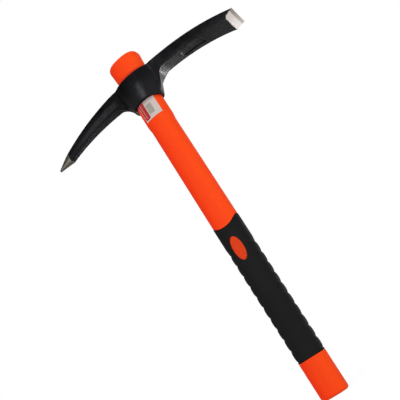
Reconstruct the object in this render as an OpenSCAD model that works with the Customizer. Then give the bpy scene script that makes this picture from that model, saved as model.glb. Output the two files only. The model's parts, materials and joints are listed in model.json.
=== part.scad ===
// Short hand pick: a forged head with a pick arm and a chisel arm, wedged on the flared end of a
// fibreglass handle with a rubber grip.
// Millimetres. The origin is the middle of the butt's flat end. +Z runs up the handle to the head,
// +X points along the chisel arm and Y is the thickness of the tool.

/* [Handle] */
// Length of the handle, from the butt's flat end to the crown of the tail
handle_len = 383; // [340:1:450]
// Width of the shaft above the grip
shaft_w = 27.5; // [24:0.5:28.5]
// Depth of the shaft above the grip
shaft_d = 20.4; // [18:0.2:21.4]
// Width of the butt
butt_w = 26.2; // [22:0.2:30]
// Depth of the butt
butt_d = 19; // [17:0.2:22]
// Rounding of the butt's lower edge
butt_round = 2.5; // [1:0.25:4]
// Squareness of the handle's section, where 2 is an ellipse
section_power = 2.5; // [2:0.1:3]

/* [Neck and tail] */
// Width of the neck, which the head's eye sits on
neck_w = 29; // [28.5:0.25:32]
// Depth of the neck
neck_d = 21.6; // [21.4:0.2:24]
// Length of the neck below the eye
neck_len = 21.5; // [12:0.5:40]
// Length of the shoulder between the shaft and the neck
shoulder_len = 6; // [3:0.5:25]
// Width of the tail where it is widest
tail_w = 36.4; // [33:0.2:40]
// Depth of the tail where it is widest
tail_d = 25.2; // [24:0.2:30]
// Height of the tail above the eye
tail_rise = 25.6; // [14:0.2:36]
// Height of the tail's rounded upper edge
tail_round = 5.5; // [4:0.5:10]

/* [Core] */
// Diameter of the fibreglass rod inside the handle
core_d = 12; // [8:0.5:13]
// Plastic between the rod's lower end and the butt's flat end
core_cover_low = 6; // [3:0.5:20]
// Plastic between the rod's upper end and the crown of the tail
core_cover_high = 12; // [10:0.5:30]

/* [Grip] */
// Bare length of the butt below the grip
grip_start = 36; // [20:1:60]
// Length of the grip along the handle's narrow edges
grip_len = 143; // [110:1:180]
// Thickness of the rubber let into the handle
grip_wall = 1.8; // [1.2:0.1:2.4]
// How far the rubber stands proud of the handle
grip_proud = 0.3; // [0:0.05:1]
// How far the grip's upper edge dips on the broad faces
grip_dip = 6.4; // [0:0.2:12]
// Distance between two finger notches
notch_pitch = 11; // [8:0.25:16]
// Depth of a finger notch
notch_depth = 1; // [0.4:0.1:1.4]
// Distance from the grip's upper edge to the first notch
notch_start = 31; // [26:0.5:45]
// Length of the oval window
window_len = 24.5; // [14:0.5:32]
// Width of the oval window
window_w = 11; // [6:0.2:14]
// Distance from the grip's upper edge to the window's middle
window_drop = 30; // [26:0.5:45]
// How far the boss in the window lies below the rubber
window_sink = 0.25; // [0.1:0.05:0.8]

/* [Eye of the head] */
// Height of the eye
eye_h = 34.3; // [26:0.1:42]
// Rise of the lower rim's arch under each cheek
rim_arch = 2.2; // [0:0.1:5]
// Wall of the eye at the lower rim, towards the arms
rim_wall = 2.7; // [1.6:0.1:5]
// Wall of the cheeks at the lower rim
cheek_wall_low = 2.2; // [1.6:0.1:6]
// Wall of the cheeks at the upper rim
cheek_wall_high = 2.6; // [1.6:0.1:6]
// Extra thickness of the cheeks at mid height
cheek_bulge = 2; // [0:0.1:3]
// Rounding of the eye's rims
rim_round = 1.2; // [0.3:0.1:1.4]
// How far the skirt flares out from the lower rim to the arms
skirt_flare = 15; // [8:0.5:20]
// How much further the eye's oval reaches at the arms than at the lower rim
oval_flare = 7; // [3:0.5:12]

/* [Pick arm] */
// Reach of the point from the handle's axis
pick_reach = 125.5; // [100:0.5:150]
// How far the point drops below the top of the eye
pick_drop = 23; // [10:0.5:35]
// Width of the arm at the eye
pick_root_w = 18; // [12:0.5:20]
// Height of the arm at the eye
pick_root_h = 15.2; // [12:0.2:20]
// Width of the arm where the ground point starts
pick_end_w = 8.6; // [5:0.2:12]
// Height of the arm where the ground point starts
pick_end_h = 9.2; // [5:0.2:10]
// Length of the ground point
point_len = 18; // [10:0.5:28]
// Width and height of the blunted tip
tip_size = 1.8; // [0.6:0.1:2.5]

/* [Chisel arm] */
// Reach of the cutting edge from the handle's axis
chisel_reach = 122; // [100:0.5:150]
// How far the cutting edge drops below the top of the eye
chisel_drop = 22.8; // [10:0.5:35]
// Width of the arm at the eye
chisel_root_w = 19.5; // [12:0.5:22]
// Width of the cutting edge
chisel_edge_w = 35; // [24:0.5:46]
// Height of the arm at the eye
chisel_root_h = 13.4; // [11:0.2:20]
// Thickness of the arm where the ground bevel starts
chisel_end_h = 7.2; // [4.5:0.2:9]
// Length of the ground bevel
bevel_len = 10; // [5:0.5:16]
// Thickness left at the cutting edge
edge_t = 0.5; // [0.3:0.1:1.2]
// Rounding of the arm's long edges
chisel_round = 1; // [0.4:0.1:2]
// Length of the shallow panel under the chisel arm
panel_len = 26; // [12:0.5:32]
// Width of the panel
panel_w = 11; // [5:0.5:13]
// Depth of the panel
panel_depth = 0.7; // [0.3:0.1:1.2]
// Rounding of the panel's corners
panel_round = 2.5; // [0.5:0.25:2.5]
// Distance from the handle's axis to the panel's middle
panel_reach = 69; // [62:0.5:80]

/* [Label] */
// Width of the label, measured straight across
label_w = 20; // [10:0.5:22]
// Height of the label
label_h = 20; // [8:0.5:30]
// Thickness of the label
label_t = 0.25; // [0.1:0.05:0.5]

/* [Fits] */
// Clearance between the eye and the handle
eye_fit = 0.15; // [0.05:0.05:0.3]
// Clearance between layers that are moulded or stuck together
bond_fit = 0.08; // [0.04:0.02:0.2]

/* [Hidden] */

// Points in a ring of the handle, and rings in a rounded edge
ring_n = 40;
edge_n = 5;
// Turn of the tail's rounded edge, which leaves its top slightly crowned
crown_turn = 84;
// Length above the grip in which the handle's rings settle from its wavy edge
wave_len = 3 * grip_dip + 2;
// Part of a notch's pitch at which a ring is set, and how sharply the notch dips
notch_places = [0, 0.08, 0.25, 0.5, 0.75, 0.92];
notch_power = 3;
// Cosine at which a notch starts round the handle's edge, and over which it deepens
notch_from = 0.5;
notch_over = 0.35;
// Rounding of the grip's ends
grip_round = grip_wall / 2;
// Strength of the blend between the arms and the eye
blend = 5;
// Curve of the head's top: 2 is a parabola, more keeps the middle flatter
arc_power = 2.4;
// Curve along which the arms thin out, and along which the chisel arm widens
thin_power = 1.1;
widen_power = 1.25;
// Squareness of the eye seen from above, and of the skirt's flare seen from the side
eye_power = 2.1;
flare_power = 1.3;
// Share of the eye's height over which its oval grows
oval_share = 0.75;
// Bottom and top widths of the pick arm's section, as shares of its width at the side ridge
pick_bottom_share = 0.76;
pick_top_share = 0.9;
// Height of an arm's side ridge as a share of its section, at the eye and at the ground point
ridge_root = 0.6;
ridge_end = 0.38;
// Share of the lower rim's half length at which the arms start to fade into the eye
fade_from = 0.5;
// Heights at which a section of the head is set, as shares below and above its ridge
low_shares = [0, 0.05, 0.14, 0.3, 0.5, 0.75];
high_shares = [0, 0.25, 0.5, 0.7, 0.86, 0.95, 1];
// How closely the sections along the skirt crowd towards the lower rim
skirt_crowd = 1.2;
// How far a cutting shape runs past the face it cuts
over = 2;

eye_top = handle_len - tail_rise;
eye_bottom = eye_top - eye_h;
shoulder_high = eye_bottom - neck_len;
shoulder_low = shoulder_high - shoulder_len;
tail_wide = handle_len - tail_round;
grip_top = grip_start + grip_len;
notch_top = grip_top - notch_start;
notch_count = floor((notch_top - grip_start) / notch_pitch);
window_z = grip_top - window_drop;
rim_half = neck_w / 2 + eye_fit + rim_wall;
root_x = rim_half + skirt_flare;

function mix(a, b, k) = a + (b - a) * k;
function clamp(v) = min(max(v, 0), 1);
function smooth(v) = let (k = clamp(v)) k * k * (3 - 2 * k);
function signed_pow(v, p) = sign(v) * pow(abs(v), p);
function soft_max(a, b) = max(a, b) + blend / 4 * pow(max(0, 1 - abs(a - b) / blend), 2);
// How far an edge of radius r is set back at distance d from the face
function rounding(d, r) = d >= r ? 0 : r - sqrt(max(r * r - pow(r - d, 2), 0));

// Solid through a row of rings with equally many points, capped at both ends by fans
module loft(rings) {
    n = len(rings[0]);
    last = len(rings) - 1;
    hub = n * (last + 1);
    points = concat([for (r = rings) each r], [middle(rings[0]), middle(rings[last])]);
    walls = [for (i = [0:last - 1]) for (j = [0:n - 1]) each quad(points, i, i + 1, j, n)];
    start = [for (j = [0:n - 1]) [j, (j + 1) % n, hub]];
    end = [for (j = [0:n - 1]) [last * n + (j + 1) % n, last * n + j, hub + 1]];
    polyhedron(points, concat(start, walls, end));
}

// Solid through a row of rings whose last ring joins the first
module loop_loft(rings) {
    n = len(rings[0]);
    m = len(rings);
    points = [for (r = rings) each r];
    polyhedron(points, [for (i = [0:m - 1]) for (j = [0:n - 1]) each quad(points, i, (i + 1) % m, j, n)]);
}

// Middle of a ring's points
function middle(ring) = [for (p = ring) 1] * ring / len(ring);

// Two triangles between rings a and b at point j of n, split along the shorter diagonal
function quad(points, a, b, j, n) = let (
    k = (j + 1) % n,
    q = [a * n + j, b * n + j, b * n + k, a * n + k])
    norm(points[q[0]] - points[q[2]]) < norm(points[q[1]] - points[q[3]])
        ? [[q[0], q[1], q[2]], [q[0], q[2], q[3]]] : [[q[0], q[1], q[3]], [q[1], q[2], q[3]]];

// Half width and half depth of the handle's outside at height z
function half_w(z) = lookup(z, [[0, butt_w / 2], [grip_top, shaft_w / 2], [shoulder_low, shaft_w / 2],
    [shoulder_high, neck_w / 2], [eye_bottom, neck_w / 2], [tail_wide, tail_w / 2]]);
function half_d(z) = lookup(z, [[0, butt_d / 2], [grip_top, shaft_d / 2], [shoulder_low, shaft_d / 2],
    [shoulder_high, neck_d / 2], [eye_bottom, neck_d / 2], [tail_wide, tail_d / 2]]);

// Ring of the handle at height z, grown by g. dip is the share of the grip's wavy edge that it follows,
// and notch the depth cut out of the narrow edges.
function ring(z, g = 0, dip = 0, notch = 0) = let (a = half_w(z) + g, b = half_d(z) + g)
    [for (i = [0:ring_n - 1]) let (q = 360 * i / ring_n, c = cos(q), s = sin(q))
        [(a - notch * smooth((abs(c) - notch_from) / notch_over)) * signed_pow(c, 2 / section_power),
         b * signed_pow(s, 2 / section_power), z - dip * grip_dip * s * s]];

// Rounded butt, recess under the grip, shaft, neck and crowned tail
function jacket_rings() = concat(
    [for (i = [0:edge_n]) let (q = 90 * i / edge_n)
        ring(butt_round * (1 - cos(q)), -butt_round * (1 - sin(q)))],
    [ring(grip_start), ring(grip_start, -grip_wall)],
    [ring(notch_top, -grip_wall), ring(grip_top, -grip_wall, 1), ring(grip_top, 0, 1)],
    [for (k = [0.25:0.25:1]) ring(mix(grip_top, grip_top + wave_len, k), 0, 1 - smooth(k))],
    [for (z = [shoulder_low, shoulder_high, eye_bottom, eye_top]) ring(z)],
    [for (i = [0:edge_n + 2]) let (q = crown_turn * i / (edge_n + 2))
        ring(tail_wide + tail_round * sin(q) / sin(crown_turn), -tail_round * (1 - cos(q)))]);

// Prism of the oval window along Y, grown by g
module window_prism(g) {
    translate([0, tail_d, window_z])
        rotate([90, 0, 0])
            linear_extrude(2 * tail_d)
                polygon([for (i = [0:ring_n - 1]) let (q = 360 * i / ring_n)
                    [(window_w / 2 + g) * cos(q), (window_len / 2 + g) * sin(q)]]);
}

module handle_jacket() {
    color("OrangeRed")
        difference() {
            union() {
                loft(jacket_rings());
                intersection() {
                    loft([for (k = [-1, 1]) ring(window_z + k * window_len, grip_proud - window_sink)]);
                    window_prism(-bond_fit);
                }
            }
            translate([0, 0, core_cover_low - bond_fit])
                cylinder(d = core_d + 2 * bond_fit,
                    h = handle_len - core_cover_low - core_cover_high + 2 * bond_fit, $fn = 64);
        }
}

module handle_core() {
    color("BurlyWood")
        translate([0, 0, core_cover_low])
            cylinder(d = core_d, h = handle_len - core_cover_low - core_cover_high, $fn = 64);
}

// Heights of the grip's outer rings through the notches, with how deep each ring is cut
function notch_rows() = [for (i = [notch_count:-1:0]) for (f = notch_places)
    let (z = notch_top - notch_pitch * (i - f))
        if (z > grip_start + 2 * grip_round && z <= notch_top + notch_places[1] * notch_pitch)
            [z, notch_depth * pow(abs(2 * f - 1), notch_power)]];

function grip_outer() = concat(
    [ring(grip_start + bond_fit, -grip_round / 2), ring(grip_start + bond_fit + grip_round, grip_proud)],
    [for (r = notch_rows()) ring(r[0], grip_proud, 0, r[1])],
    [for (k = [0.2:0.2:0.8]) ring(mix(notch_top, grip_top, k), grip_proud, smooth(k))],
    [ring(grip_top - grip_round, grip_proud, 1), ring(grip_top - bond_fit, -grip_round / 2, 1)]);

function grip_inner() = [ring(grip_top - bond_fit, bond_fit - grip_wall, 1),
    ring(notch_top, bond_fit - grip_wall), ring(grip_start + bond_fit, bond_fit - grip_wall)];

module grip() {
    color("DimGray")
        difference() {
            loop_loft(concat(grip_outer(), grip_inner()));
            window_prism(0);
        }
}

// Top of the head at x
function head_top(x) = eye_top - (x < 0 ? pick_drop * pow(-x / pick_reach, arc_power)
    : chisel_drop * pow(x / chisel_reach, arc_power));

// Share of the way along an arm, from the eye to where the grinding starts, and along the ground end
function pick_way(x) = clamp((-x - root_x) / (pick_reach - point_len - root_x));
function point_way(x) = clamp((-x - pick_reach + point_len) / point_len);
function chisel_way(x) = clamp((x - root_x) / (chisel_reach - bevel_len - root_x));
function bevel_way(x) = clamp((x - chisel_reach + bevel_len) / bevel_len);

// Height of each arm's section at x
function pick_h(x) = let (h = mix(pick_end_h, pick_root_h, pow(1 - pick_way(x), thin_power)))
    mix(h, tip_size, point_way(x));
function chisel_h(x) = let (h = mix(chisel_end_h, chisel_root_h, pow(1 - chisel_way(x), thin_power)))
    mix(h, edge_t, bevel_way(x));
function arm_bottom(x) = head_top(x) - (x < 0 ? pick_h(x) : chisel_h(x));

// Lower rim of the eye at x, arched between the arms
function rim_z(x) = eye_bottom + rim_arch * (1 - pow(min(abs(x) / rim_half, 1), 2));

// Underside of the head at x: arched rim, flared skirt, arm
function head_bottom(x) = let (q = clamp((abs(x) - rim_half) / skirt_flare))
    mix(rim_z(x), arm_bottom(x), pow(1 - pow(1 - q, flare_power), 1 / flare_power));

// Share of a section's height at which its sides are widest
function ridge(x) = mix(ridge_root, ridge_end, pick_way(x));

// Half width of the pick arm's six-sided section at x, at share s of its height
function pick_half(x, s) = let (
    w = mix(mix(pick_root_w, pick_end_w, pick_way(x)), tip_size, point_way(x)) / 2,
    r = ridge(x))
    w * (s < r ? mix(pick_bottom_share, 1, s / r) : mix(1, pick_top_share, (s - r) / (1 - r)));

// Half width of the chisel arm's section at x, at share s of its height
function chisel_half(x, s) = let (
    k = clamp((x - root_x) / (chisel_reach - root_x)),
    w = mix(chisel_root_w, chisel_edge_w, pow(k, widen_power)),
    h = chisel_h(x))
    w / 2 - rounding(min(s, 1 - s) * h, min(chisel_round, h / 2));

// Half width of either arm, fading out inside the eye and rounded off below along the skirt
function arm_half(x, s) = let (
    w = x < 0 ? pick_half(x, s) : chisel_half(x, s),
    skirt = smooth((root_x - abs(x)) / skirt_flare))
    w * smooth(abs(x) / rim_half - fade_from) * mix(1, sqrt(s), skirt);

// Half length of the eye's oval at height z, and half depth of the eye at x and z
function eye_half_l(z) = rim_half + oval_flare * sin(90 * clamp((z - eye_bottom) / (oval_share * eye_h)));
function eye_half_d(x, z) = let (h = clamp((z - eye_bottom) / eye_h))
    half_d(z) + eye_fit + mix(cheek_wall_low, cheek_wall_high, h) + cheek_bulge * sin(180 * h)
    - rounding(min(z - head_bottom(x), eye_top - z), rim_round);

// Half width of the eye at x and z, below zero past the end of its oval
function eye_half(x, z) = let (l = eye_half_l(z), k = 1 - pow(abs(x) / l, eye_power))
    k > 0 ? eye_half_d(x, z) * pow(k, 1 / eye_power) : l - abs(x);

// Section of the head at x, up one side and down the other
function head_ring(x) = let (
    low = head_bottom(x),
    high = head_top(x),
    r = ridge(x),
    shares = concat([for (k = low_shares) k * r], [for (k = high_shares) mix(r, 1, k)]),
    side = [for (s = shares) let (z = mix(low, high, s)) [soft_max(eye_half(x, z), arm_half(x, s)), z]],
    n = len(side))
    concat([for (p = side) [x, p[0], p[1]]], [for (i = [n - 1:-1:0]) [x, -side[i][0], side[i][1]]]);

// Places along X at which the head's section is set: ground ends, arms, skirt and eye
function head_stations() = let (
    arm_n = 14,
    skirt_n = 13,
    eye_n = 16,
    grind_n = 4,
    point = [for (i = [0:grind_n - 1]) -pick_reach + point_len * i / grind_n],
    pick = [for (i = [0:arm_n - 1]) mix(point_len - pick_reach, -root_x, i / arm_n)],
    skirt = [for (i = [0:skirt_n - 1]) rim_half + skirt_flare * pow(1 - i / skirt_n, skirt_crowd)],
    eye = [for (i = [0:eye_n]) -rim_half * cos(180 * i / eye_n)],
    chisel = [for (i = [arm_n - 1:-1:0]) mix(chisel_reach - bevel_len, root_x, i / arm_n)],
    bevel = [for (i = [1:grind_n]) chisel_reach - bevel_len + bevel_len * i / grind_n])
    concat(point, pick, [for (x = skirt) -x], eye, [for (i = [skirt_n - 1:-1:0]) skirt[i]], chisel, bevel);

// Tapered hole of the eye, which the neck and tail jam in
module eye_hole() {
    loft([for (z = [eye_bottom - over, eye_bottom, eye_top + over]) ring(z, eye_fit)]);
}

// Shallow panel with rounded corners sunk into the chisel arm's underside, bent along it
module chisel_panel() {
    steps = 16;
    loft([for (i = [0:steps]) let (
        d = panel_len * (1 - cos(180 * i / steps)) / 2,
        x = panel_reach - panel_len / 2 + d,
        half = panel_w / 2 - rounding(min(d, panel_len - d), panel_round),
        low = arm_bottom(x) - over,
        high = arm_bottom(x) + panel_depth)
        [[x, half, low], [x, half, high], [x, -half, high], [x, -half, low]]]);
}

module pick_head() {
    color("DarkSlateGray")
        difference() {
            loft([for (x = head_stations()) head_ring(x)]);
            eye_hole();
            chisel_panel();
        }
}

// Front of the handle at x and z, moved out by g
function front_y(x, z, g) = -(half_d(z) + g)
    * pow(1 - pow(abs(x) / (half_w(z) + g), section_power), 1 / section_power);

// Label on the front face of the neck, bent along it, with its upper edge along the eye's rim
module label() {
    steps = 16;
    low = rim_z(label_w / 2) - label_h;
    color("WhiteSmoke")
        loft([for (i = [0:steps]) let (x = label_w * (i / steps - 0.5), top = rim_z(x) - bond_fit)
            [for (p = [[low, bond_fit + label_t], [low, bond_fit],
                [top, bond_fit], [top, bond_fit + label_t]]) [x, front_y(x, p[0], p[1]), p[0]]]]);
}

pick_head();
handle_jacket();
handle_core();
grip();
label();
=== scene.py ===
import json
import math

import bpy
from mathutils import Matrix, Vector

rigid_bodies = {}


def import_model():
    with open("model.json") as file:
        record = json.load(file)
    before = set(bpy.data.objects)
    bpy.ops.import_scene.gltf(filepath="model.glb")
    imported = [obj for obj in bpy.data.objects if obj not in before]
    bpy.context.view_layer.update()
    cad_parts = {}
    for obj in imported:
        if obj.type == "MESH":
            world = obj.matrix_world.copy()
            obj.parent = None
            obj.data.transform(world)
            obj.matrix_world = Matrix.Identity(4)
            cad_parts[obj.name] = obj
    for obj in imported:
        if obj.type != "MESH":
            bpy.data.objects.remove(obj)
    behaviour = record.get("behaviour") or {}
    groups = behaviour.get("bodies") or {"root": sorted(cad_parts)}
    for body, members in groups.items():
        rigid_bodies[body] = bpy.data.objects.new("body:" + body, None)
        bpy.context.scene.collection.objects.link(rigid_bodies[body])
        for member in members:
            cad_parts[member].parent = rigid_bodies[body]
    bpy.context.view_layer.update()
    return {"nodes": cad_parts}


for old in list(bpy.data.objects):
    bpy.data.objects.remove(old)
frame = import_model()
scene = bpy.context.scene
nodes = frame["nodes"]

# Places are metres in the CAD frame. A pair is where a change starts and where it is complete.
# A span is two pairs: where something fades in, and where it fades out.

# Along the head (X)
POINT_BARE = (-0.1062, -0.1069)
BEVEL_BARE = (0.1109, 0.1114)
EDGE_BARE = (0.1206, 0.1211)
EDGE_LAND = (0.1180, 0.1194)
ROUND_PICK_ARM = (-0.024, -0.034)
ROUND_CHISEL_ARM = (0.036, 0.048), (0.108, 0.100)
# The next two spans are painted shade: the corner by the eye and the chisel arm
PAINTED_SHADE_BY_EYE = (-0.062, -0.040), (-0.001, -0.016)
PAINTED_SHADE_CHISEL_ARM = (0.030, 0.050)
ROUGH_CORNER = (-0.047, -0.036), (-0.014, -0.022)
# The next three spans hold painted highlight on the pick arm's facets and painted reflection behind
# the cutting edge
PAINTED_HIGHLIGHT_FACET = (-0.100, -0.070), (-0.042, -0.048)
PAINTED_HIGHLIGHT_ROOT = (-0.048, -0.042), (-0.0265, -0.0300)
PAINTED_REFLECTION_BEHIND_EDGE = (0.082, 0.104)

# Up the handle (Z)
WINDOW_HEIGHT = (0.132, 0.135), (0.166, 0.163)
# Painted shade on the handle by the eye's rims
RIM_PAINTED_SHADE_HEIGHT = (0.3185, 0.3245), (0.3620, 0.3585)
# Height of the painted highlight at the pick arm's root
PAINTED_HIGHLIGHT_ROOT_HEIGHT = (0.3415, 0.3430), (0.3492, 0.3478)

# Directions that a surface faces, as parts of its normal
BEVEL_FACES_DOWN = (-0.3, -0.6)
EDGE_FACES_OUT = (0.6, 0.8)
FACET_FACES_DOWN = (-0.16, -0.22), (-0.40, -0.32)
UNDERSIDE_FACES_DOWN = (-0.5, -0.8)
PAINTED_SHADE_SIDE_FACING = (0.35, -0.5)

# The bare patches of the head and the rounding of its edges
BARE_LINE_WANDER = 0.0014
BEVEL_STRAIGHT_HALF = 0.0125
BEVEL_CORNER_CURVE = 140.0
EDGE_HALF_WIDTH = 0.018
EDGE_ROUNDING = 0.0007
PICK_ARM_ROUNDING = 0.0022
CHISEL_ARM_EXTRA_ROUNDING = 0.0009
AT_ROUNDED_EDGE = (0.99, 0.9)
CLEAR_OF_EDGE = (0.96, 0.995)

# The label's field, band and line, and the painted shade under the eye's rim
FIELD_ACROSS = (-0.0029, -0.0019), (0.0048, 0.0038)
FIELD_HEIGHT = (0.3085, 0.3095), (0.3205, 0.3195)
FIELD_WANDER = 0.0012
LABEL_RIM_PAINTED_SHADE_HEIGHT = (0.3195, 0.3248)
BAND_MIDDLE = -0.0064
BAND_HALF_WIDTH = 0.0031
BAND_SIDE = (1.06, 0.98)
BAND_FOOT = (0.3058, 0.3061)
BAND_FOOT_ROUNDING = 0.0012
LINE_ACROSS = (-0.0078, -0.0075), (-0.0066, -0.0069)
LINE_FOOT = (0.3078, 0.3082)

# Most values of a noise lie in this range, around its middle
NOISE_RANGE = (0.3, 0.7)
NOISE_MIDDLE = 0.5

# Smooth shading
SMOOTH_BELOW = math.radians(24)
WELD_DISTANCE = 0.000002

# Sky and floor
WHITE = (1.0, 1.0, 1.0, 1.0)
FLOOR_GREY = (0.9, 0.9, 0.9, 1.0)
SKY_LIGHT = 0.5
SKY_RISE = (0.0, 0.6)
MIRRORED_SKY = (1.0, 0.06)
FLOOR_REACH = 6.0
FLOOR_FADE = (0.2, 1.4)
FLOOR_GLOW_SHARE = (0.62, 1.0)
FLOOR_GLOW = (1.22, 1.0)
FLOOR_LEFT_TO_RIGHT = (-0.2, 0.15)
MIRRORED_FLOOR = (0.25, 1.0)

# The camera that was fitted to the photograph
CAMERA_PLACE = Vector((0.157427, -0.515639, 0.035))
CAMERA_TARGET = Vector((-0.009802, 0.0, 0.210924))
CAMERA_ROLL = -0.564
FOCAL_PIXELS = 596.867
IMAGE_PIXELS = 400
SENSOR_MM = 36.0


# Node helpers

class Graph:
    """A node tree, with short calls for the nodes that this scene uses."""

    def __init__(self, tree):
        self.tree = tree

    def feed(self, node, inputs):
        """Link a node's inputs to sockets, or set them to values."""
        for key, value in inputs.items():
            if isinstance(value, bpy.types.NodeSocket):
                self.tree.links.new(value, node.inputs[key])
            else:
                node.inputs[key].default_value = value

    def add(self, kind, inputs=None, **settings):
        """A node with its settings and inputs."""
        node = self.tree.nodes.new(kind)
        for key, value in settings.items():
            setattr(node, key, value)
        self.feed(node, inputs or {})
        return node

    def calc(self, operation, a, b=0.0):
        return self.add("ShaderNodeMath", {0: a, 1: b}, operation=operation).outputs[0]

    def plus(self, a, b):
        return self.calc("ADD", a, b)

    def minus(self, a, b):
        return self.calc("SUBTRACT", a, b)

    def times(self, a, b):
        return self.calc("MULTIPLY", a, b)

    def most(self, a, b):
        return self.calc("MAXIMUM", a, b)

    def ramp(self, value, low, high, start=0.0, end=1.0):
        """Value taken from low..high to start..end, smoothly and clamped."""
        inputs = {"Value": value, "From Min": low, "From Max": high, "To Min": start, "To Max": end}
        node = self.add("ShaderNodeMapRange", inputs, interpolation_type="SMOOTHSTEP")
        return node.outputs["Result"]

    def span(self, value, fade_in, fade_out, peak=1.0):
        """Peak between two limits, and 0 outside them."""
        return self.times(self.ramp(value, *fade_in, 0.0, peak), self.ramp(value, *fade_out))

    def coordinates(self, kind):
        return self.add("ShaderNodeTexCoord").outputs[kind]

    def parts(self, vector):
        """X, Y and Z of a vector."""
        return self.add("ShaderNodeSeparateXYZ", {"Vector": vector}).outputs

    def noise(self, place, scale, detail=3.0, rough=0.5):
        inputs = {"Vector": place, "Scale": scale, "Detail": detail, "Roughness": rough}
        return self.add("ShaderNodeTexNoise", inputs).outputs["Fac"]

    def stretched_noise(self, place, scales, detail, rough=0.5):
        stretched = self.add("ShaderNodeMapping", {"Vector": place, "Scale": scales})
        return self.noise(stretched.outputs["Vector"], 1.0, detail, rough)

    def mix(self, share, a, b):
        """From number a to number b."""
        inputs = {"Factor": share, 2: a, 3: b}
        return self.add("ShaderNodeMix", inputs, data_type="FLOAT").outputs[0]

    def mix_colour(self, share, a, b):
        inputs = {"Factor": share, 6: a, 7: b}
        return self.add("ShaderNodeMix", inputs, data_type="RGBA").outputs[2]

    def bump(self, height, distance, strength, under=None):
        inputs = {"Height": height, "Distance": distance, "Strength": strength}
        if under is not None:
            inputs["Normal"] = under
        return self.add("ShaderNodeBump", inputs).outputs["Normal"]


def material(name):
    """A new node material, its Principled shader and its graph."""
    mat = bpy.data.materials.new(name)
    mat.use_nodes = True
    return mat, mat.node_tree.nodes["Principled BSDF"], Graph(mat.node_tree)


def rgb(red, green, blue):
    """Linear colour from 8-bit sRGB values."""
    return tuple(c / 12.92 if c <= 0.04045 else ((c + 0.055) / 1.055) ** 2.4
                 for c in (red / 255, green / 255, blue / 255)) + (1.0,)


# Materials

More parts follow.
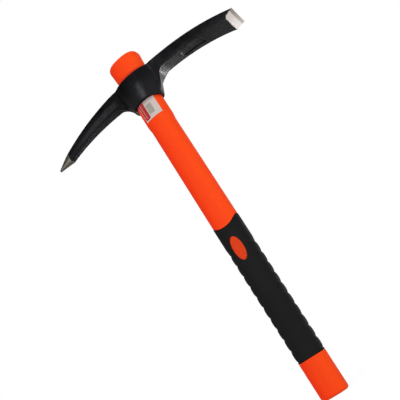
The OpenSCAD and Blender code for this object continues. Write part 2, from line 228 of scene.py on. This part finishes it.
def head_material():
    """Satin black paint on a forging, bare at the point and on the cutting edge's underside."""
    mat, shader, g = material("head_paint_bare_ends")
    place = g.coordinates("Object")
    spot = g.parts(place)
    x, y, z = spot["X"], spot["Y"], spot["Z"]
    facing = g.parts(g.coordinates("Normal"))

    # Where steel is bare: a patch with rounded corners on the bevel, the edge, and the point
    wander = g.minus(g.noise(place, 260.0, 2.0), NOISE_MIDDLE)
    along = g.plus(x, g.times(wander, BARE_LINE_WANDER))
    aside = g.most(g.minus(g.calc("ABSOLUTE", y), BEVEL_STRAIGHT_HALF), 0.0)
    inset = g.minus(along, g.times(g.times(aside, aside), BEVEL_CORNER_CURVE))
    below = g.most(g.ramp(facing["Z"], *BEVEL_FACES_DOWN), g.ramp(facing["X"], *EDGE_FACES_OUT))
    bevel = g.most(g.times(g.ramp(inset, *BEVEL_BARE), below), g.ramp(along, *EDGE_BARE))
    bare = g.most(bevel, g.ramp(along, *POINT_BARE))

    # Ground steel, streaked along the grinding
    streaks = g.stretched_noise(place, (2400.0, 160.0, 2400.0), 4.0)
    polish = g.plus(g.ramp(y, -EDGE_HALF_WIDTH, EDGE_HALF_WIDTH), g.minus(streaks, NOISE_MIDDLE))
    bevel_steel = g.mix_colour(polish, rgb(206, 196, 190), rgb(236, 230, 226))
    land_steel = g.mix_colour(polish, rgb(140, 132, 126), rgb(190, 181, 175))
    edge_steel = g.mix_colour(g.ramp(x, *EDGE_LAND), bevel_steel, land_steel)
    point_steel = g.mix_colour(streaks, rgb(128, 122, 114), rgb(172, 164, 154))
    steel = g.mix_colour(bevel, point_steel, edge_steel)

    # Edges shaded as rounded, more so on the arms
    rounding = g.plus(g.ramp(x, *ROUND_PICK_ARM, EDGE_ROUNDING, PICK_ARM_ROUNDING),
                      g.times(g.span(x, *ROUND_CHISEL_ARM), CHISEL_ARM_EXTRA_ROUNDING))
    rounded = g.add("ShaderNodeBevel", {"Radius": rounding}, samples=6).outputs["Normal"]
    crisp = g.add("ShaderNodeNewGeometry").outputs["Normal"]
    lean = g.add("ShaderNodeVectorMath", {0: rounded, 1: crisp}, operation="DOT_PRODUCT")
    lean = lean.outputs["Value"]

    # Black paint, with painted shade: darker on the chisel arm and in the corner by the eye
    blotch = g.noise(place, 60.0, 4.0)
    paint = g.mix_colour(blotch, rgb(13, 13, 15), rgb(25, 25, 28))
    painted_shade = g.most(g.span(x, *PAINTED_SHADE_BY_EYE), g.ramp(x, *PAINTED_SHADE_CHISEL_ARM, 0.0, 0.85))
    paint = g.mix_colour(painted_shade, paint, rgb(6, 6, 7))

    # Painted highlight in grey on the pick arm's lower side facets, and painted reflection on the
    # underside behind the cutting edge
    outer_facet_highlight = g.times(g.span(facing["Z"], *FACET_FACES_DOWN), g.span(x, *PAINTED_HIGHLIGHT_FACET))
    root_facet_highlight = g.times(g.span(z, *PAINTED_HIGHLIGHT_ROOT_HEIGHT), g.span(x, *PAINTED_HIGHLIGHT_ROOT))
    facet_highlight = g.times(g.plus(root_facet_highlight, outer_facet_highlight), g.ramp(lean, *CLEAR_OF_EDGE))
    underside_reflection = g.times(g.ramp(x, *PAINTED_REFLECTION_BEHIND_EDGE, 0.0, 0.75),
                  g.ramp(facing["Z"], *UNDERSIDE_FACES_DOWN))
    mottle = g.ramp(g.noise(place, 330.0, 3.0, 0.6), *NOISE_RANGE, 0.35, 1.0)
    paint = g.mix_colour(g.times(g.plus(facet_highlight, underside_reflection), mottle), paint, rgb(41, 41, 44))

    # Scuffs, and paint rubbed thin at the edges of the eye and the chisel arm; the lighter edges
    # are partly wear and partly a painted edge highlight
    scuff = g.stretched_noise(place, (130.0, 900.0, 500.0), 5.0, 0.6)
    scuff = g.ramp(scuff, 0.66, 0.8, 0.0, 0.5)
    rub_and_highlight = g.times(g.ramp(blotch, 0.4, 0.65), g.ramp(x, *reversed(ROUND_PICK_ARM)))
    rubbed_edge_highlight = g.times(g.ramp(lean, *AT_ROUNDED_EDGE), rub_and_highlight)
    paint = g.mix_colour(g.most(scuff, rubbed_edge_highlight), paint, rgb(62, 62, 64))

    satin = g.plus(g.ramp(g.noise(place, 140.0), *NOISE_RANGE, 0.24, 0.33),
                   g.span(x, *ROUGH_CORNER, 0.4))
    ground = g.ramp(streaks, *NOISE_RANGE, 0.30, 0.42)
    forged = g.bump(g.noise(place, 90.0, 3.0, 0.55), 0.0006, 0.45, rounded)
    g.feed(shader, {
        "Base Color": g.mix_colour(bare, paint, steel),
        "Metallic": bare,
        "Roughness": g.mix(bare, satin, ground),
        "Normal": g.bump(g.noise(place, 900.0, 2.0), 0.00008, 0.12, forged),
        "Specular IOR Level": 0.145,
        "Specular Tint": (0.92, 0.95, 1.0, 1.0)})
    return mat


def jacket_material():
    """Grained orange plastic with faint flow marks.

    It has painted shade: a deeper colour on the pick side, darker in the grip's windows, and darker
    by the eye's rims.
    """
    mat, shader, g = material("jacket_orange_plastic")
    place = g.coordinates("Object")
    z = g.parts(place)["Z"]
    facing = g.parts(g.coordinates("Normal"))
    cloud = g.noise(place, 25.0)
    grain = g.noise(place, 2200.0, 2.0)
    orange = g.mix_colour(cloud, rgb(248, 70, 15), rgb(252, 76, 19))
    # Painted shade: deeper red-orange on the side facing the pick
    orange = g.mix_colour(g.ramp(facing["X"], *PAINTED_SHADE_SIDE_FACING), orange, rgb(250, 57, 12))
    # Painted shade: darker orange in the grip's sunk windows
    window_shade = g.mix_colour(g.noise(place, 300.0), rgb(206, 56, 14), rgb(230, 66, 19))
    with_window_shade = g.mix_colour(g.span(z, *WINDOW_HEIGHT), orange, window_shade)
    # The base colour carries painted shade by the eye's rims
    g.feed(shader, {
        "Base Color": g.mix_colour(g.span(z, *RIM_PAINTED_SHADE_HEIGHT, 0.8), with_window_shade, rgb(206, 48, 18)),
        "Roughness": g.ramp(grain, *NOISE_RANGE, 0.58, 0.68),
        "Normal": g.bump(grain, 0.00004, 0.4, g.bump(cloud, 0.0004, 0.3)),
        "Specular IOR Level": 0.1})
    return mat


def grip_material():
    """Matte black rubber with a pebbled skin."""
    mat, shader, g = material("grip_black_rubber")
    place = g.coordinates("Object")
    dust = g.noise(place, 70.0, 4.0)
    pebbles = g.add("ShaderNodeTexVoronoi", {"Vector": place, "Scale": 1100.0}, feature="SMOOTH_F1")
    g.feed(shader, {
        "Base Color": g.mix_colour(dust, rgb(15, 15, 16), rgb(25, 25, 27)),
        "Roughness": g.ramp(dust, *NOISE_RANGE, 0.62, 0.76),
        "Normal": g.bump(pebbles.outputs["Distance"], 0.00012, 0.5),
        "Specular IOR Level": 0.15})
    return mat


def label_material():
    """Blank paper with a plain red band, a pale line in it, and an empty toned field."""
    mat, shader, g = material("label_paper_red_band")
    place = g.coordinates("Object")
    spot = g.parts(place)
    x, z = spot["X"], spot["Z"]
    fibre = g.noise(place, 1500.0)

    # The field, with a wandering outline, and painted shade along the eye's rim
    wander = g.times(g.minus(g.noise(place, 420.0, 2.0), NOISE_MIDDLE), FIELD_WANDER)
    field_x, field_z = g.plus(x, wander), g.plus(z, wander)
    field = g.times(g.span(field_x, *FIELD_ACROSS), g.span(field_z, *FIELD_HEIGHT))
    paper = g.mix_colour(fibre, rgb(190, 175, 170), rgb(212, 199, 194))
    toned = g.mix_colour(fibre, rgb(150, 144, 133), rgb(168, 162, 150))
    paper = g.mix_colour(field, paper, toned)
    paper = g.mix_colour(g.ramp(field_z, *LABEL_RIM_PAINTED_SHADE_HEIGHT, 0.0, 0.6), paper, rgb(122, 110, 110))

    # The band, with a rounded foot, and the line in it
    across = g.calc("DIVIDE", g.calc("ABSOLUTE", g.minus(x, BAND_MIDDLE)), BAND_HALF_WIDTH)
    lowered = g.minus(z, g.times(g.calc("POWER", across, 4.0), BAND_FOOT_ROUNDING))
    band = g.times(g.ramp(across, *BAND_SIDE), g.ramp(lowered, *BAND_FOOT))
    line = g.times(g.span(x, *LINE_ACROSS), g.ramp(z, *LINE_FOOT))
    red = g.mix_colour(fibre, rgb(160, 34, 38), rgb(186, 50, 50))
    red = g.mix_colour(line, red, rgb(206, 130, 126))

    g.feed(shader, {
        "Base Color": g.mix_colour(band, paper, red),
        "Roughness": g.ramp(fibre, *NOISE_RANGE, 0.5, 0.65),
        "Normal": g.bump(fibre, 0.00003, 0.4),
        "Specular IOR Level": 0.2})
    return mat


def core_material():
    """Pultruded fibreglass rod with lengthwise strands."""
    mat, shader, g = material("core_fibreglass_strands")
    strands = g.stretched_noise(g.coordinates("Object"), (1800.0, 1800.0, 20.0), 3.0)
    g.feed(shader, {
        "Base Color": g.mix_colour(strands, rgb(196, 178, 120), rgb(226, 212, 160)),
        "Roughness": g.ramp(strands, *NOISE_RANGE, 0.35, 0.5),
        "Normal": g.bump(strands, 0.00005, 0.4)})
    return mat


# Smooth shading of the CAD nodes

def smooth_group():
    """Geometry nodes that drop stored normals, weld, and shade smooth below an edge angle."""
    tree = bpy.data.node_groups.new("smooth_by_angle", "GeometryNodeTree")
    sockets = tree.interface
    sockets.new_socket("Geometry", in_out="INPUT", socket_type="NodeSocketGeometry")
    sockets.new_socket("Geometry", in_out="OUTPUT", socket_type="NodeSocketGeometry")
    limit = sockets.new_socket("Angle", in_out="INPUT", socket_type="NodeSocketFloat")
    limit.default_value = SMOOTH_BELOW
    g = Graph(tree)
    start = g.add("NodeGroupInput").outputs
    plain = g.add("GeometryNodeRemoveAttribute",
                  {"Geometry": start["Geometry"], "Name": "custom_normal"})
    weld = g.add("GeometryNodeMergeByDistance",
                 {"Geometry": plain.outputs["Geometry"], "Distance": WELD_DISTANCE})
    faces = g.add("GeometryNodeSetShadeSmooth",
                  {"Geometry": weld.outputs["Geometry"], "Shade Smooth": True}, domain="FACE")
    angle = g.add("GeometryNodeInputMeshEdgeAngle").outputs["Unsigned Angle"]
    soft = g.add("FunctionNodeCompare", {"A": angle, "B": start["Angle"]}, operation="LESS_EQUAL")
    edges = g.add("GeometryNodeSetShadeSmooth",
                  {"Geometry": faces.outputs["Geometry"], "Shade Smooth": soft.outputs["Result"]},
                  domain="EDGE")
    g.add("NodeGroupOutput", {"Geometry": edges.outputs["Geometry"]})
    return tree


smoothing = smooth_group()
finishes = {"pick_head": head_material(), "handle_jacket": jacket_material(),
            "grip": grip_material(), "label": label_material(), "handle_core": core_material()}
for name, mat in finishes.items():
    piece = nodes[name]
    piece.data.materials.clear()
    piece.data.materials.append(mat)
    piece.modifiers.new("smooth_by_angle", "NODES").node_group = smoothing
    piece.modifiers.new("even_normals", "WEIGHTED_NORMAL").keep_sharp = True


# Sky: white to look at, dimmer overhead in mirrors, and a soft light

world = bpy.data.worlds.new("studio")
scene.world = world
world.use_nodes = True
g = Graph(world.node_tree)
rays = g.add("ShaderNodeLightPath").outputs
height = g.parts(g.coordinates("Generated"))["Z"]
mirrored = g.times(rays["Is Glossy Ray"], g.ramp(height, *SKY_RISE, *MIRRORED_SKY))
seen = g.most(g.most(rays["Is Camera Ray"], mirrored), rays["Is Transmission Ray"])
sky = g.most(seen, g.times(rays["Is Diffuse Ray"], SKY_LIGHT))
g.feed(world.node_tree.nodes["Background"], {"Color": WHITE, "Strength": sky})


# Floor: pale with the tool's shadow, fading to white, and dimmer on the left in mirrors

floor_mesh = bpy.data.meshes.new("floor")
corners = [(-FLOOR_REACH, -FLOOR_REACH, 0), (FLOOR_REACH, -FLOOR_REACH, 0),
           (FLOOR_REACH, FLOOR_REACH, 0), (-FLOOR_REACH, FLOOR_REACH, 0)]
floor_mesh.from_pydata(corners, [], [(0, 1, 2, 3)])
floor = bpy.data.objects.new("floor", floor_mesh)
scene.collection.objects.link(floor)
floor_mat, floor_shader, g = material("floor_pale")
g.tree.nodes.remove(floor_shader)
rays = g.add("ShaderNodeLightPath").outputs
spot = g.coordinates("Object")
away = g.add("ShaderNodeVectorMath", {0: spot}, operation="LENGTH").outputs["Value"]
seen = g.most(rays["Is Camera Ray"], rays["Is Transmission Ray"])
seen_glow = g.times(seen, g.ramp(away, *FLOOR_FADE, *FLOOR_GLOW_SHARE))
mirrored = g.ramp(g.parts(spot)["X"], *FLOOR_LEFT_TO_RIGHT, *MIRRORED_FLOOR)
brightness = g.mix(rays["Is Glossy Ray"], g.ramp(away, *FLOOR_FADE, *FLOOR_GLOW), mirrored)
matte = g.add("ShaderNodeBsdfDiffuse", {"Color": FLOOR_GREY}).outputs["BSDF"]
glow = g.add("ShaderNodeEmission", {"Color": WHITE, "Strength": brightness}).outputs["Emission"]
surface = g.add("ShaderNodeMixShader",
                {0: g.most(rays["Is Glossy Ray"], seen_glow), 1: matte, 2: glow})
g.feed(g.tree.nodes["Material Output"], {"Surface": surface.outputs["Shader"]})
floor_mesh.materials.append(floor_mat)


# Lamps

def lamp(name, place, aim, size, power, spread=180, in_mirrors=True):
    """An area lamp at a place, facing an aim. The spread is in degrees."""
    data = bpy.data.lights.new(name, "AREA")
    data.shape = "RECTANGLE"
    data.size, data.size_y = size
    data.energy = power
    data.spread = math.radians(spread)
    obj = bpy.data.objects.new(name, data)
    obj.location = place
    obj.rotation_euler = (Vector(aim) - Vector(place)).to_track_quat("-Z", "Y").to_euler()
    obj.visible_camera = False
    obj.visible_glossy = in_mirrors
    scene.collection.objects.link(obj)


middle = (0.0, 0.0, 0.26)
lamp("key_front", (-0.08, -1.37, 0.57), middle, (0.36, 0.8), 6.1)
lamp("fill_right", (1.25, -0.6, 0.5), middle, (1.4, 1.4), 6.8, in_mirrors=False)
lamp("rim_back_right", (0.68, 1.0, 0.35), (0.06, 0.0, 0.36), (0.5, 0.5), 0.08, 24)
lamp("top_soft", (0.0, 0.3, 1.35), middle, (0.9, 0.9), 2.6)
lamp("low_back", (0.33, 0.6, 0.1), (0.0, 0.0, 0.345), (0.16, 0.22), 0.02, 12)
lamp("low_glow", (-0.05, 0.57, 0.02), (0.0, 0.0, 0.343), (0.22, 0.2), 0.018, 12)
lamp("low_gap", (0.17, 0.59, 0.02), (-0.02, 0.0, 0.343), (0.08, 0.08), 0.01, 14)


# Camera

ahead = (CAMERA_TARGET - CAMERA_PLACE).normalized()
level = ahead.cross(Vector((0, 0, 1))).normalized()
upright = level.cross(ahead)
right = level * math.cos(CAMERA_ROLL) + upright * math.sin(CAMERA_ROLL)
up = upright * math.cos(CAMERA_ROLL) - level * math.sin(CAMERA_ROLL)
camera_data = bpy.data.cameras.new("camera")
camera_data.sensor_fit = "HORIZONTAL"
camera_data.sensor_width = SENSOR_MM
camera_data.lens = SENSOR_MM * FOCAL_PIXELS / IMAGE_PIXELS
camera_data.clip_start = 0.01
camera = bpy.data.objects.new("camera", camera_data)
camera.matrix_world = Matrix((right, up, -ahead)).transposed().to_4x4()
camera.matrix_world.translation = CAMERA_PLACE
scene.collection.objects.link(camera)
scene.camera = camera
scene.view_settings.view_transform = "Standard"
